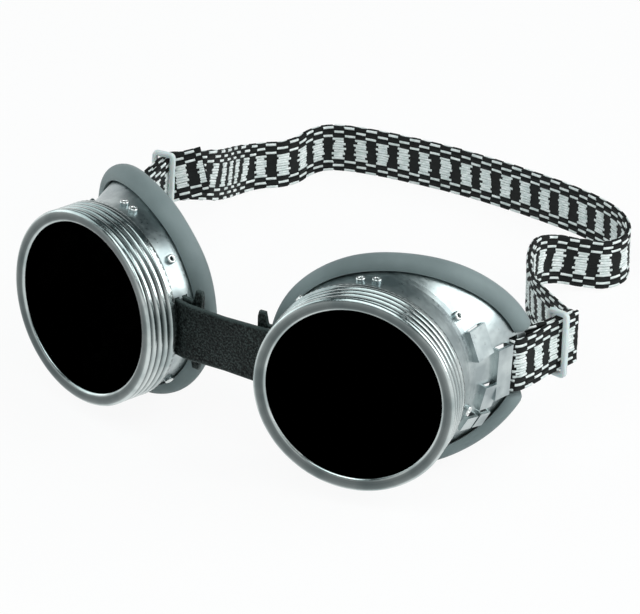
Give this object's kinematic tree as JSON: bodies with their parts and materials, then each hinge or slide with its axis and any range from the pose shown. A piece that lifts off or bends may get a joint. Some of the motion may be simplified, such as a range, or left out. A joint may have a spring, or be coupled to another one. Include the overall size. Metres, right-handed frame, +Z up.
{
  "type": "goggles",
  "caption": "Screw-ring goggles: round dark lenses in threaded metal eyecups with padded rims, joined by a leather nose strap and worn on an elastic headband with sliding keepers.",
  "frame": {"origin": "centre of the bounding box's footprint, on the ground the goggles rest on", "axes": "+Z up, the lenses look towards -Y, +X towards the cup at the right of the picture"},
  "size_m": [0.1489, 0.1702, 0.0613],
  "materials": {
    "drawn_aluminium": "bright drawn sheet",
    "rolled_aluminium": "bright rolled thread",
    "grey_padding": "matte",
    "clear_glass": "polished",
    "dark_glass": "polished",
    "gasket_fibre": "matte",
    "black_leather": "grained",
    "woven_elastic": "woven",
    "white_plastic": "smooth"
  },
  "bodies": {
    "left_cup": {"left_eyecup": "drawn_aluminium", "left_edge_padding": "grey_padding", "nose_strap": "black_leather", "headband": "woven_elastic"},
    "right_cup": {"right_eyecup": "drawn_aluminium", "right_edge_padding": "grey_padding"},
    "left_lens_stack": {"left_cover_lens": "clear_glass", "left_filter_lens": "dark_glass", "left_lens_gasket": "gasket_fibre"},
    "right_lens_stack": {"right_cover_lens": "clear_glass", "right_filter_lens": "dark_glass", "right_lens_gasket": "gasket_fibre"},
    "left_ring": {"left_screw_ring": "rolled_aluminium"},
    "right_ring": {"right_screw_ring": "rolled_aluminium"},
    "left_slider": {"left_band_slider": "white_plastic"},
    "right_slider": {"right_band_slider": "white_plastic"}
  },
  "joints": [
    {"name": "bridge_flex", "type": "hinge", "parent": "left_cup", "child": "right_cup", "pos_m": [0.00195, -0.07338, 0.03259], "axis": [0, 0, 1], "range_deg": [-15, 15], "deforming": ["nose_strap", "headband"]},
    {"name": "left_lens_lift", "type": "slide", "parent": "left_cup", "child": "left_lens_stack", "axis": [-0.2412, -0.9674, 0.0767], "range_m": [0, 0.0042]},
    {"name": "left_ring_turn", "type": "hinge", "parent": "left_lens_stack", "child": "left_ring", "pos_m": [-0.04065, -0.07778, 0.03249], "axis": [-0.2412, -0.9674, 0.0767], "range_deg": [0, 720]},
    {"name": "right_lens_lift", "type": "slide", "parent": "right_cup", "child": "right_lens_stack", "axis": [0.2412, -0.9674, 0.0767], "range_m": [0, 0.0042]},
    {"name": "right_ring_turn", "type": "hinge", "parent": "right_lens_stack", "child": "right_ring", "pos_m": [0.04455, -0.07778, 0.03249], "axis": [0.2412, -0.9674, 0.0767], "range_deg": [0, 720]},
    {"name": "left_slider_slide", "type": "slide", "parent": "left_cup", "child": "left_slider", "axis": [-0.165, 0.9838, -0.0704], "range_m": [-0.024, 0.002]},
    {"name": "right_slider_slide", "type": "slide", "parent": "right_cup", "child": "right_slider", "axis": [0.165, 0.9838, -0.0704], "range_m": [-0.004, 0.003]}
  ],
  "couplings": [
    {"joint": "left_ring_turn", "follows": "left_lens_lift", "rad_per_m": 2992},
    {"joint": "right_ring_turn", "follows": "right_lens_lift", "rad_per_m": 2992}
  ]
}
